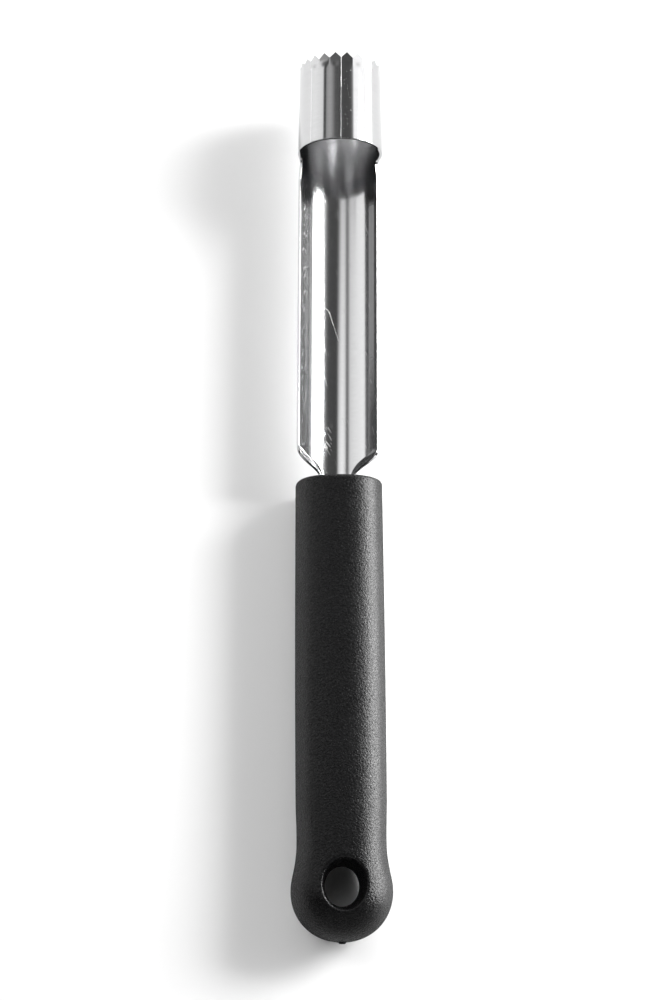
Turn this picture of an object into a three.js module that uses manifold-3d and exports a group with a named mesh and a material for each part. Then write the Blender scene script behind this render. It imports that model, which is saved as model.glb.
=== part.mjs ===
// Hand apple corer: a rolled sheet blade with a toothed ring, held in a
// moulded handle. Millimetres, +Z up, +Y towards the cutting end, lying with
// the open side of the trough up. The origin is on the table, under the middle
// of the bounding box.
import * as THREE from 'three';
import * as BufferGeometryUtils from 'three/addons/utils/BufferGeometryUtils.js';
import Module from 'manifold-3d';

// ---- blade ---------------------------------------------------------------
const SHEET = 0.7;             // sheet thickness
const TIP_Y = 105.0;           // points of the teeth
const RIM_Y = 82.35;           // rear edge of the ring
const TEETH = 22;              // teeth round the ring, one gap on the seam
const TOOTH_DEPTH = 1.4;
const RING_R_REAR = 9.85;      // ring radius at mid thickness, rear
const RING_R_FRONT = 9.55;     // ring radius at mid thickness, at the teeth
const SEAM_HALF_REAR = 0.22;   // half the open seam, rear
const SEAM_HALF_FRONT = 0.15;  // half the open seam, at the teeth
const TROUGH_R = 10.25;        // trough radius at mid thickness
const TROUGH_HALF_ANGLE = 68.7 * Math.PI / 180; // trough edge, seen on the ring
const FLAT_FROM = 49 * Math.PI / 180; // past this angle the trough's sides are straight
const RIM_CHAMFER = 0.75;     // corner between the ring and the trough edge
const FLARE_Y = 76.5;          // where the trough starts closing to the ring
// outline of the shoulder: [y, half width at mid thickness]
const SHOULDER = [
  [10.2, 9.40], [9.4, 9.34], [8.7, 9.24], [8.15, 9.03], [7.65, 8.66], [7.15, 8.05],
  [6.7, 7.32], [6.2, 6.47], [5.7, 5.68], [5.2, 5.02], [4.7, 4.54],
  [4.1, 4.23], [3.4, 4.08], [2.7, 4.05],
];
const NECK_HALF = 4.05;        // half width of neck and tang
const CURL_WIDTH = 1.9;        // width of the turned-up shoulder edge
const CURL_SLOPE = 0.95;       // how steeply that edge is turned up
const CURL_ROUND = 0.3;        // roundness of its bend
const TANG_END_Y = -52.0;
const TANG_HOLES = [[-14.0, -24.0], [-34.0, -44.0]]; // from, to
const TANG_HOLE_HALF = 1.5;

// ---- handle --------------------------------------------------------------
const FRONT_Y = 2.2;           // flat front face
const END_Y = -105.0;          // end of the gate mark
const HANDLE_HALF_HEIGHT = 10.4;
const HANDLE_SIDES = 44;
const SQUARENESS = 2.4;        // exponent of the section, 2 is an ellipse
// half width of the handle: [y, half width]
const HANDLE_WIDTH = [
  [1.45, 10.28], [-15.0, 10.39], [-31.0, 10.48], [-49.0, 10.52], [-63.5, 10.51],
  [-72.8, 10.48], [-77.3, 10.37], [-81.0, 10.29], [-83.6, 10.31], [-85.5, 10.45],
  [-87.3, 10.70], [-89.1, 11.04], [-90.9, 11.42], [-92.2, 11.62], [-93.4, 11.69],
];
const BULB_Y = -93.4;          // widest place of the end
const BULB_HALF = 11.69;
const BULB_LENGTH = 11.5;      // from there to the end of the dome
const GATE_R = 0.75;           // gate mark
const HOLE_Y = -92.4;          // middle of the hang hole
const HOLE_STRETCH = 1.14;     // length over width of the hang hole
// half width of the hang hole: [height above the handle axis, half width]
const HOLE_WIDTH = [
  [0.0, 3.95], [4.6, 4.48], [9.0, 4.99], [9.6, 5.14], [10.1, 5.42], [10.8, 6.1],
];
const GAP = 0.3;               // clearance between tang and pocket

// ---- shared frame --------------------------------------------------------
const AXIS_Z = HANDLE_HALF_HEIGHT * Math.cos(Math.PI / HANDLE_SIDES) ** (2 / SQUARENESS);

const wasm = await Module();
wasm.setup();

function solid(geometry) {
  const g = geometry.clone();
  g.deleteAttribute('normal');
  g.deleteAttribute('uv');
  const merged = BufferGeometryUtils.mergeVertices(g, 1e-4);
  const mesh = new wasm.Mesh({
    numProp: 3,
    vertProperties: new Float32Array(merged.attributes.position.array),
    triVerts: new Uint32Array(merged.index.array),
  });
  return new wasm.Manifold(mesh);
}

function geometryOf(manifold) {
  const mesh = manifold.getMesh();
  const g = new THREE.BufferGeometry();
  g.setAttribute('position', new THREE.BufferAttribute(new Float32Array(mesh.vertProperties), 3));
  g.setIndex(new THREE.BufferAttribute(new Uint32Array(mesh.triVerts), 1));
  return g;
}

function along(table, y) {
  const up = table[0][0] < table[table.length - 1][0];
  const t = up ? table : [...table].reverse();
  if (y <= t[0][0]) return t[0][1];
  for (let i = 1; i < t.length; i += 1) {
    if (y <= t[i][0]) {
      const f = (y - t[i - 1][0]) / (t[i][0] - t[i - 1][0]);
      return t[i - 1][1] + f * (t[i][1] - t[i - 1][1]);
    }
  }
  return t[t.length - 1][1];
}

const smooth = (a, b, x) => {
  const t = Math.min(1, Math.max(0, (x - a) / (b - a)));
  return t * t * (3 - 2 * t);
};

// ---- the sheet: from the flat blank (across, along) to the formed blade ----
const EDGE = TROUGH_HALF_ANGLE * RING_R_REAR;   // half the trough's blank width

function sheetRadius(y) {
  if (y >= RIM_Y) {
    const f = (y - RIM_Y) / (TIP_Y - RIM_Y);
    return RING_R_REAR + f * (RING_R_FRONT - RING_R_REAR);
  }
  return TROUGH_R + smooth(FLARE_Y, RIM_Y, y) * (RING_R_REAR - TROUGH_R);
}

function seamHalf(y) {
  const f = (y - RIM_Y) / (TIP_Y - RIM_Y);
  return SEAM_HALF_REAR + f * (SEAM_HALF_FRONT - SEAM_HALF_REAR);
}

const FLAT_REACH = TROUGH_R * Math.sin(FLAT_FROM);

// distance along the trough's sheet from its middle to half the width w
function alongSheet(w) {
  if (w < FLAT_REACH) return TROUGH_R * Math.asin(w / TROUGH_R);
  return TROUGH_R * FLAT_FROM + (w - FLAT_REACH) / Math.cos(FLAT_FROM);
}

// half width of the blank behind the ring, measured along the sheet
function blankHalf(y) {
  const widest = alongSheet(SHOULDER[0][1]);
  if (y >= SHOULDER[0][0]) return widest + smooth(FLARE_Y, RIM_Y, y) * (EDGE - widest);
  return alongSheet(y <= SHOULDER[SHOULDER.length - 1][0] ? NECK_HALF : along(SHOULDER, y));
}

// x and height of the sheet at the distance s along it from the middle: round,
// with straight sides that bend in to the ring at its rear edge
function section(s, y) {
  const r = sheetRadius(y);
  const arc = Math.min(Math.abs(s), r * FLAT_FROM);
  const past = Math.abs(s) - arc;
  const a = arc / r;
  const t = smooth(FLARE_Y, RIM_Y, y) / r * past / 2;
  const chord = t > 1e-9 ? past * Math.sin(t) / t : past;
  return [
    Math.sign(s) * (r * Math.sin(a) + chord * Math.cos(a + t)),
    r * (1 - Math.cos(a)) + chord * Math.sin(a + t)];
}

// height of the turned-up edge along the shoulders
function curl(s, half, y) {
  const slope = (blankHalf(y + 0.05) - blankHalf(y - 0.05)) / 0.1;
  const fromEdge = Math.max(half - Math.abs(s), 0) / Math.hypot(1, slope);
  const width = CURL_WIDTH * (0.55 + 0.45 * smooth(3.2, 8.0, y));
  const grow = smooth(10.6, 8.8, y) * (1 - smooth(3.6, 1.8, y));
  const t = Math.max(width - fromEdge, 0);
  return CURL_SLOPE * grow * (Math.hypot(t, CURL_ROUND) - CURL_ROUND);
}

// a point of the sheet: across is an angle on the ring, and a share of the half
// width (-1 to 1) behind it
function midSheet(across, y, onRing) {
  if (onRing) {
    const r = sheetRadius(y);
    const limit = Math.PI - seamHalf(y) / r;
    const a = Math.max(-limit, Math.min(limit, across));
    return new THREE.Vector3(r * Math.sin(a), y, AXIS_Z + r * (1 - Math.cos(a)));
  }
  const half = blankHalf(y);
  const [x, up] = section(across * half, y);
  return new THREE.Vector3(x, y, AXIS_Z + up + curl(across * half, half, y));
}

function sheetNormal(across, y, onRing) {
  const e = 1e-3;
  const low = onRing ? across - e : Math.max(-1, across - e);
  const high = onRing ? across + e : Math.min(1, across + e);
  const r = sheetRadius(y);
  if (onRing) {
    // straight from the angle, so that the seam's edges keep their direction
    const limit = Math.PI - seamHalf(y) / r;
    const a = Math.max(-limit, Math.min(limit, across));
    return new THREE.Vector3(Math.sin(a), 0, -Math.cos(a));
  }
  const dx = midSheet(high, y, false).sub(midSheet(low, y, false));
  const dy = midSheet(across, y + e, y >= RIM_Y).sub(midSheet(across, y - e, false));
  if (y >= RIM_Y) dy.set(0, 1, 0);
  return dx.cross(dy).negate().normalize();
}

// closed body from cells of the flat blank: a front and a back layer, and a
// wall along every free edge
class Sheet {
  constructor(thickness) {
    this.half = thickness / 2;
    this.keys = new Map();
    this.mid = [];
    this.normal = [];
    this.cells = [];
  }

  vertex(p, n) {
    const key = `${Math.round(p.x * 2000)},${Math.round(p.y * 2000)},${Math.round(p.z * 2000)}`;
    if (!this.keys.has(key)) {
      this.keys.set(key, this.mid.length);
      this.mid.push(p);
      this.normal.push(n);
    }
    return this.keys.get(key);
  }

  cell(ids) {
    const clean = ids.filter((v, i) => v !== ids[(i + ids.length - 1) % ids.length]);
    if (clean.length >= 3) this.cells.push(clean);
  }

  geometry() {
    const n = this.mid.length;
    const position = [];
    for (const side of [-1, 1]) {
      for (let i = 0; i < n; i += 1) {
        const p = this.mid[i].clone().addScaledVector(this.normal[i], side * this.half);
        position.push(p.x, p.y, p.z);
      }
    }
    const index = [];
    const edges = new Map();
    for (const c of this.cells) {
      for (let i = 1; i + 1 < c.length; i += 1) {
        index.push(c[0], c[i], c[i + 1]);
        index.push(n + c[0], n + c[i + 1], n + c[i]);
      }
      for (let i = 0; i < c.length; i += 1) {
        const a = c[i];
        const b = c[(i + 1) % c.length];
        const back = `${b}_${a}`;
        if (edges.has(back)) edges.delete(back);
        else edges.set(`${a}_${b}`, [a, b]);
      }
    }
    for (const [a, b] of edges.values()) {
      index.push(b, a, n + a);
      index.push(b, n + a, n + b);
    }
    const g = new THREE.BufferGeometry();
    g.setAttribute('position', new THREE.Float32BufferAttribute(position, 3));
    g.setIndex(index);
    return g;
  }
}

function bladeGeometry() {
  const sheet = new Sheet(SHEET);
  const step = Math.PI / TEETH;
  const at = (across, y, onRing) => sheet.vertex(
    midSheet(across, y, onRing), sheetNormal(across, y, onRing));

  // columns: a valley or a point of the teeth every step, and the trough edges
  const angles = [];
  for (let j = -TEETH; j <= TEETH; j += 1) angles.push(j * step);
  angles.push(-TROUGH_HALF_ANGLE, TROUGH_HALF_ANGLE);
  angles.sort((p, q) => p - q);
  const first = angles.indexOf(-TROUGH_HALF_ANGLE);
  const last = angles.indexOf(TROUGH_HALF_ANGLE);

  // ring, up to the gaps of the teeth
  const gapY = TIP_Y - TOOTH_DEPTH;
  const ringRows = [RIM_Y, 88.0, 96.0, gapY];
  for (let r = 0; r + 1 < ringRows.length; r += 1) {
    for (let j = 0; j + 1 < angles.length; j += 1) {
      sheet.cell([
        at(angles[j], ringRows[r], true), at(angles[j + 1], ringRows[r], true),
        at(angles[j + 1], ringRows[r + 1], true), at(angles[j], ringRows[r + 1], true)]);
    }
  }
  // teeth
  const toothY = (a) => {
    const f = Math.abs(a) / step;
    const t = Math.abs(f - 2 * Math.round(f / 2));
    return gapY + TOOTH_DEPTH * t;
  };
  for (let j = 0; j + 1 < angles.length; j += 1) {
    sheet.cell([
      at(angles[j], gapY, true), at(angles[j + 1], gapY, true),
      at(angles[j + 1], toothY(angles[j + 1]), true), at(angles[j], toothY(angles[j]), true)]);
  }
  // chamfered corners between the ring's rear edge and the trough's edges
  const shareOf = (a) => a / TROUGH_HALF_ANGLE;
  const chamferY = RIM_Y - RIM_CHAMFER;
  const near = (j, y) => (y >= RIM_Y ? at(angles[j], RIM_Y, true) : at(shareOf(angles[j]), y, false));
  sheet.cell([near(last, chamferY), at(angles[last + 1], RIM_Y, true), near(last, RIM_Y)]);
  sheet.cell([at(angles[first - 1], RIM_Y, true), near(first, chamferY), near(first, RIM_Y)]);

  // trough, shoulders and neck
  const rows = [RIM_Y, chamferY, 80.0, 78.2, FLARE_Y, 60.0, 42.0, 26.0, 14.0];
  for (const [y] of SHOULDER) rows.push(y);
  rows.push(0.5);
  for (let r = 0; r + 1 < rows.length; r += 1) {
    for (let j = first; j < last; j += 1) {
      sheet.cell([near(j, rows[r + 1]), near(j + 1, rows[r + 1]), near(j + 1, rows[r]), near(j, rows[r])]);
    }
  }

  // tang: the same columns, with locking holes between the columns at +-holeShare
  const holes = angles.slice(first, last + 1).map(shareOf);
  const half = blankHalf(0);
  const holeShare = TANG_HOLE_HALF / half;
  let inner = 0;
  for (let j = 0; j < holes.length; j += 1) {
    if (Math.abs(holes[j] - holeShare) < Math.abs(holes[inner] - holeShare)) inner = j;
  }
  const inHole = (j) => j >= holes.length - 1 - inner && j < inner;
  const tangRows = [0.5];
  for (const [from, to] of TANG_HOLES) tangRows.push(from, (from + to) / 2, to);
  tangRows.push(TANG_END_Y + 2.5, TANG_END_Y);
  const narrow = (y) => (y < TANG_END_Y + 1 ? 0.62 : 1);
  const tang = (j, y) => at(holes[j] * narrow(y), y, false);
  for (let r = 0; r + 1 < tangRows.length; r += 1) {
    const middle = (tangRows[r] + tangRows[r + 1]) / 2;
    const open = TANG_HOLES.some(([from, to]) => middle < from && middle > to);
    for (let j = 0; j + 1 < holes.length; j += 1) {
      if (open && inHole(j)) continue;
      sheet.cell([tang(j, tangRows[r + 1]), tang(j + 1, tangRows[r + 1]), tang(j + 1, tangRows[r]), tang(j, tangRows[r])]);
    }
  }
  return { geometry: sheet.geometry(), holeHalf: holes[inner] * half };
}

// room for the tang in the handle, with a pillar through each locking hole
function pocketGeometry(holeHalf) {
  const sheet = new Sheet(SHEET + 2 * GAP);
  const half = blankHalf(0) + GAP;
  const pillar = holeHalf - GAP;
  const across = [];
  for (const f of [-1, -0.72, -0.44]) across.push(f * half);
  across.push(-pillar, -pillar / 2, 0, pillar / 2, pillar);
  for (const f of [0.44, 0.72, 1]) across.push(f * half);
  const rows = [FRONT_Y + 0.6];
  for (const [from, to] of TANG_HOLES) rows.push(from - GAP, (from + to) / 2, to + GAP);
  rows.push(TANG_END_Y - GAP);
  const at = (u, y) => {
    const a = u / TROUGH_R;
    return sheet.vertex(
      new THREE.Vector3(TROUGH_R * Math.sin(a), y, AXIS_Z + TROUGH_R * (1 - Math.cos(a))),
      new THREE.Vector3(Math.sin(a), 0, -Math.cos(a)));
  };
  for (let r = 0; r + 1 < rows.length; r += 1) {
    const middle = (rows[r] + rows[r + 1]) / 2;
    const open = TANG_HOLES.some(([from, to]) => middle < from && middle > to);
    for (let j = 0; j + 1 < across.length; j += 1) {
      if (open && across[j] >= -pillar - 1e-6 && across[j + 1] <= pillar + 1e-6) continue;
      sheet.cell([at(across[j], rows[r + 1]), at(across[j + 1], rows[r + 1]), at(across[j + 1], rows[r]), at(across[j], rows[r])]);
    }
  }
  return sheet.geometry();
}

// ---- handle --------------------------------------------------------------
function handleGeometry() {
  // outline from the end to the front face, as half width along the axis
  const outline = [
    new THREE.Vector2(0, END_Y), new THREE.Vector2(GATE_R, END_Y),
    new THREE.Vector2(GATE_R, END_Y + 0.15),
  ];
  for (let i = 9; i > 0; i -= 1) {
    const a = i * Math.PI * 0.0485;
    outline.push(new THREE.Vector2(BULB_HALF * Math.cos(a), BULB_Y - BULB_LENGTH * Math.sin(a)));
  }
  for (const [y, w] of [...HANDLE_WIDTH].reverse()) outline.push(new THREE.Vector2(w, y));
  outline.push(
    new THREE.Vector2(10.24, FRONT_Y - 0.45), new THREE.Vector2(10.08, FRONT_Y - 0.17),
    new THREE.Vector2(9.85, FRONT_Y - 0.04), new THREE.Vector2(9.6, FRONT_Y),
    new THREE.Vector2(0, FRONT_Y));
  const g = new THREE.LatheGeometry(outline, HANDLE_SIDES, Math.PI / HANDLE_SIDES, 2 * Math.PI);
  const p = g.attributes.position;
  const widest = HANDLE_WIDTH[0][1];
  for (let i = 0; i < p.count; i += 1) {
    const x = p.getX(i);
    const y = p.getY(i);
    const z = p.getZ(i);
    const w = Math.hypot(x, z);
    if (w < 1e-6) {
      p.setXYZ(i, 0, y, AXIS_Z);
      continue;
    }
    // the underside is straight from the front to the bulb; both ends round off
    let h;
    if (y > FRONT_Y - 0.7) h = w * HANDLE_HALF_HEIGHT / widest;
    else if (y >= BULB_Y) h = HANDLE_HALF_HEIGHT;
    else h = w * HANDLE_HALF_HEIGHT / BULB_HALF;
    const k = 2 / (y >= -80 ? SQUARENESS : SQUARENESS + smooth(-80, -94, y) * (2.2 - SQUARENESS));
    const c = x / w;
    const s = z / w;
    let up = Math.sign(s) * Math.abs(s) ** k;
    // the two lowest corners of every section of the straight part lie at z = 0
    if (y >= BULB_Y && y <= FRONT_Y - 0.7 && Math.abs(c) < 1.5 * Math.PI / HANDLE_SIDES) {
      up = Math.sign(s) * AXIS_Z / HANDLE_HALF_HEIGHT;
    }
    p.setXYZ(i, w * Math.sign(c) * Math.abs(c) ** k, y, AXIS_Z + h * up);
  }
  return g;
}

function hangHoleGeometry() {
  const outline = [];
  const top = HOLE_WIDTH[HOLE_WIDTH.length - 1];
  outline.push(new THREE.Vector2(0, -top[0] - 2), new THREE.Vector2(top[1] + 2.4, -top[0] - 2));
  for (const [z, w] of [...HOLE_WIDTH].reverse()) outline.push(new THREE.Vector2(w, -z));
  for (const [z, w] of HOLE_WIDTH.slice(1)) outline.push(new THREE.Vector2(w, z));
  outline.push(new THREE.Vector2(top[1] + 2.4, top[0] + 2), new THREE.Vector2(0, top[0] + 2));
  const g = new THREE.LatheGeometry(outline, 32, Math.PI / 32, 2 * Math.PI);
  g.rotateX(Math.PI / 2);
  g.scale(1, HOLE_STRETCH, 1);
  g.translate(0, HOLE_Y, AXIS_Z);
  return g;
}

const blade = bladeGeometry();
const bladeSolid = solid(blade.geometry);
const handleSolid = solid(handleGeometry())
  .subtract(solid(hangHoleGeometry()))
  .subtract(solid(pocketGeometry(blade.holeHalf)));

const group = new THREE.Group();
group.name = 'apple_corer';

const bladeMesh = new THREE.Mesh(
  geometryOf(bladeSolid),
  new THREE.MeshStandardMaterial({ color: 0xc9cbcd, metalness: 1.0, roughness: 0.22 }));
bladeMesh.name = 'blade';
group.add(bladeMesh);

const handleMesh = new THREE.Mesh(
  geometryOf(handleSolid),
  new THREE.MeshStandardMaterial({ color: 0x17181a, metalness: 0.0, roughness: 0.55 }));
handleMesh.name = 'handle';
group.add(handleMesh);

export default group;
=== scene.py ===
import math

import bpy
import numpy as np
from mathutils import Matrix, Vector


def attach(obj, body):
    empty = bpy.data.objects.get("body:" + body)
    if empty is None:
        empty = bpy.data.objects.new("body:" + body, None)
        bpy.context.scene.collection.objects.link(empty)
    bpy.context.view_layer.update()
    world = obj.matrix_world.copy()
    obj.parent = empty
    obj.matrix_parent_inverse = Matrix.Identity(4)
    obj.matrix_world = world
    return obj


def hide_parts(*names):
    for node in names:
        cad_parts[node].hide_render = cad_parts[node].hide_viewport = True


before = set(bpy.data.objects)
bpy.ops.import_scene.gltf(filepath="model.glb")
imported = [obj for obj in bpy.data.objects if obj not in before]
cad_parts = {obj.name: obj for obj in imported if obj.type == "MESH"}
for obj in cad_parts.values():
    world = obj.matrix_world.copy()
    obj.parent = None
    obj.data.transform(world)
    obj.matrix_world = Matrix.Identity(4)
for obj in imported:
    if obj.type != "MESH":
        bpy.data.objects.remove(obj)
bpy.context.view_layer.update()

MM = 0.001

# ---------------------------------------------------------------- dimensions
SHEET = 0.7
TIP_Y = 105.0
RIM_Y = 82.35
TEETH = 22
TOOTH_DEPTH = 1.4
RING_R_REAR = 9.85
RING_R_FRONT = 9.55
SEAM_HALF_REAR = 0.075
SEAM_HALF_FRONT = 0.05
TROUGH_R = 10.25
EDGE_ANGLE = math.radians(68.7)
FLAT_FROM = math.radians(48.4)
STRAIGHT = 0.93
RING_TURN = 0.042
FLARE_Y = 76.5
SHOULDER = [
    (10.2, 9.58), (9.4, 9.55), (8.7, 9.44), (8.15, 9.24), (7.65, 8.90), (7.15, 8.32),
    (6.7, 7.55), (6.2, 6.65), (5.7, 5.82), (5.2, 5.12), (4.7, 4.60),
    (4.1, 4.25), (3.4, 4.08), (2.7, 4.05),
]
NECK_HALF = 4.05
CURL_WIDTH = 1.9
CURL_SLOPE = 0.5
CURL_ROUND = 0.5
TANG_END_Y = -52.0
TANG_HOLES = [(-14.0, -24.0), (-34.0, -44.0)]
# the blade sits a little askew in its moulding
SKEW = 0.0096
SKEW_Y = 60.5

FRONT_Y = 2.2
HALF_HEIGHT = 10.4
SQUARENESS = 2.4
AXIS_Z = HALF_HEIGHT * math.cos(math.pi / 44) ** (2 / SQUARENESS)
HANDLE_WIDTH = [
    (6.0, 10.25), (1.45, 10.28), (-15.0, 10.39), (-31.0, 10.48), (-49.0, 10.52), (-63.5, 10.51),
    (-72.8, 10.48), (-77.3, 10.37), (-81.0, 10.29), (-83.6, 10.31), (-85.5, 10.45),
    (-87.3, 10.70), (-89.1, 11.04), (-90.9, 11.42), (-92.2, 11.62), (-93.4, 11.69),
]
BULB_Y = -93.4
BULB_HALF = 11.69
BULB_LENGTH = 11.5
HOLE_Y = -92.4
HOLE_STRETCH = 1.14


def smooth(a, b, x):
    t = np.clip((np.asarray(x, float) - a) / (b - a), 0.0, 1.0)
    return t * t * (3 - 2 * t)


def curve_through(table):
    """A smooth curve through the points that never overshoots them."""
    pts = sorted(table)
    xs = np.array([p[0] for p in pts], float)
    ys = np.array([p[1] for p in pts], float)
    h = np.diff(xs)
    d = np.diff(ys) / h
    m = np.zeros(len(xs))
    for i in range(1, len(xs) - 1):
        if d[i - 1] * d[i] > 0:
            w1 = 2 * h[i] + h[i - 1]
            w2 = h[i] + 2 * h[i - 1]
            m[i] = (w1 + w2) / (w1 / d[i - 1] + w2 / d[i])
    m[0], m[-1] = d[0], 0.0

    def f(x):
        x = np.clip(np.asarray(x, float), xs[0], xs[-1])
        i = np.clip(np.searchsorted(xs, x, side="right") - 1, 0, len(h) - 1)
        t = (x - xs[i]) / h[i]
        return ((2 * t**3 - 3 * t**2 + 1) * ys[i] + (t**3 - 2 * t**2 + t) * h[i] * m[i]
                + (-2 * t**3 + 3 * t**2) * ys[i + 1] + (t**3 - t**2) * h[i] * m[i + 1])

    return f


def askew(p, centre=SKEW_Y):
    """Points or directions turned by the blade's skew."""
    p = np.asarray(p, float)
    c, s = math.cos(SKEW), math.sin(SKEW)
    x, y = p[:, 0], p[:, 1] - centre
    return np.stack([c * x + s * y, c * y - s * x + centre, p[:, 2]], -1)


# --------------------------------------------------------------------- blade
EDGE = EDGE_ANGLE * RING_R_REAR
GAP_Y = TIP_Y - TOOTH_DEPTH
STEP = math.pi / TEETH
shoulder_half = curve_through(SHOULDER)


def sheet_radius(y):
    ring = RING_R_REAR + (y - RIM_Y) / (TIP_Y - RIM_Y) * (RING_R_FRONT - RING_R_REAR)
    trough = TROUGH_R + smooth(FLARE_Y, RIM_Y, y) * (RING_R_REAR - TROUGH_R)
    return np.where(y >= RIM_Y, ring, trough)


def seam_half(y):
    return SEAM_HALF_REAR + (y - RIM_Y) / (TIP_Y - RIM_Y) * (SEAM_HALF_FRONT - SEAM_HALF_REAR)


def flatness(y):
    """The sheet's edges are left nearly straight behind the ring, as rolling leaves them."""
    return STRAIGHT * (1 - smooth(FLARE_Y, RIM_Y, y))


def section(s, y):
    """x, height and slope of the sheet at the distance s along it from the middle."""
    r = sheet_radius(y)
    s0 = r * FLAT_FROM
    arc = np.minimum(np.abs(s), s0)
    past = np.abs(s) - arc
    bend = (1 - flatness(y)) / r
    t = bend * past / 2
    chord = past * np.sinc(t / np.pi)
    a = arc / r
    x = r * np.sin(a) + chord * np.cos(a + t)
    z = r * (1 - np.cos(a)) + chord * np.sin(a + t)
    return np.sign(s) * x, z, np.sign(s) * (a + 2 * t)


ALONG = np.linspace(0, 14, 600)
ACROSS = section(ALONG, np.full(600, 40.0))[0]
TROUGH_EDGE = float(np.interp(SHOULDER[0][1], ACROSS, ALONG))


def blank_half(y):
    w = np.where(y <= SHOULDER[-1][0], NECK_HALF, shoulder_half(y))
    narrow = np.interp(w, ACROSS, ALONG)
    wide = TROUGH_EDGE + smooth(FLARE_Y, RIM_Y, y) * (EDGE - TROUGH_EDGE)
    return np.where(y >= SHOULDER[0][0], wide, np.minimum(narrow, TROUGH_EDGE))


OUT_Y = np.linspace(0.5, 14.0, 271)
OUT_S = blank_half(OUT_Y)


def from_outline(s, y):
    """Distance of a point of the blank from its edge along the shoulders and the neck."""
    s, y = np.broadcast_arrays(np.abs(np.asarray(s, float)), np.asarray(y, float))
    d = np.full(s.shape, 9.0)
    near = (y > 0.8) & (y < 13.0)
    ps, py = s[near][:, None], y[near][:, None]
    es, ey = np.diff(OUT_S)[None, :], np.diff(OUT_Y)[None, :]
    t = np.clip(((ps - OUT_S[:-1]) * es + (py - OUT_Y[:-1]) * ey) / (es**2 + ey**2), 0, 1)
    if ps.size:
        d[near] = np.min(np.hypot(ps - OUT_S[:-1] - t * es, py - OUT_Y[:-1] - t * ey), axis=1)
    return d


def curl(s, y):
    """Height of the turned-up edge along the shoulders."""
    width = CURL_WIDTH * (0.55 + 0.45 * smooth(3.2, 8.0, y))
    grow = smooth(10.2, 7.6, y) * (1 - smooth(3.6, 2.0, y))
    t = np.maximum(width - from_outline(s, y), 0)
    return CURL_SLOPE * grow * (np.sqrt(t * t + CURL_ROUND**2) - CURL_ROUND)


def rolled(a):
    """The ring's seam sits a little to one side."""
    return a + RING_TURN * smooth(1.3, 2.6, np.abs(a))


def mid_sheet(u, y, ring):
    """A point of the sheet's middle. u is the angle on the ring, and a share of
    the half width behind it."""
    y = np.broadcast_to(y, np.shape(u))
    r = sheet_radius(y)
    limit = np.pi - seam_half(y) / r
    a_ring = np.clip(u, -limit, limit)
    half = blank_half(y)
    s = u * half
    sx, sz, sa = section(s, y)
    lift = curl(s, y)
    # near the teeth the sheet stays flat across each tooth
    tooth = np.abs(np.abs(a_ring) / STEP - 2 * np.round((np.abs(a_ring) / STEP - 1) / 2) - 1) * STEP
    flat = np.cos(STEP) / np.cos(np.minimum(tooth, STEP)) - 1
    rr = r * (1 + flat * smooth(GAP_Y - 3.0, GAP_Y - 0.2, y))
    x = np.where(ring, rr * np.sin(rolled(a_ring)), sx - 0.35 * lift * np.sin(sa))
    z = AXIS_Z + np.where(ring, r - rr * np.cos(rolled(a_ring)), sz + lift)
    return np.stack([x, y, z], -1)


def sheet_normal(u, y, ring):
    e = 2e-3
    du = mid_sheet(u + e / 10, y, ring) - mid_sheet(u - e / 10, y, ring)
    dy = mid_sheet(u, y + e, ring) - mid_sheet(u, y - e, ring)
    bad = np.linalg.norm(du, axis=-1) < 1e-7
    r = sheet_radius(y)
    a = rolled(np.clip(u, -np.pi + seam_half(y) / r, np.pi - seam_half(y) / r))
    n = np.cross(dy, du)
    straight = np.stack([np.sin(a), np.zeros_like(a), -np.cos(a)], -1)
    n = np.where(bad[..., None], straight, n)
    n /= np.linalg.norm(n, axis=-1, keepdims=True)
    flip = np.sum(n * np.where(ring[..., None], straight, np.array([0, 0, -1.0])), -1) < 0
    return np.where(flip[..., None], -n, n)


def tooth_y(a):
    f = np.abs(a) / STEP
    return GAP_Y + TOOTH_DEPTH * np.abs(f - 2 * np.round(f / 2))


def shoulder_columns(share, y):
    """Columns of the blank that run along the outline where it narrows."""
    half = blank_half(y)
    slope = (blank_half(y + 0.05) - blank_half(y - 0.05)) / 0.1
    lean = np.sqrt(1 + slope**2)
    mid = len(share) // 2
    j = np.abs(np.arange(len(share)) - mid)[None, :]
    outer = 20
    deep = np.minimum(2.7, 0.7 * half / lean)
    s = np.where(j >= mid - outer, half - deep * lean * (mid - j) / outer,
                 (half - deep * lean) * j / (mid - outer))
    follow = smooth(16.0, 11.5, y) * smooth(-2.0, 1.2, y)
    return (1 - follow) * share[None, :] + follow * np.sign(share)[None, :] * s / half


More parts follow.
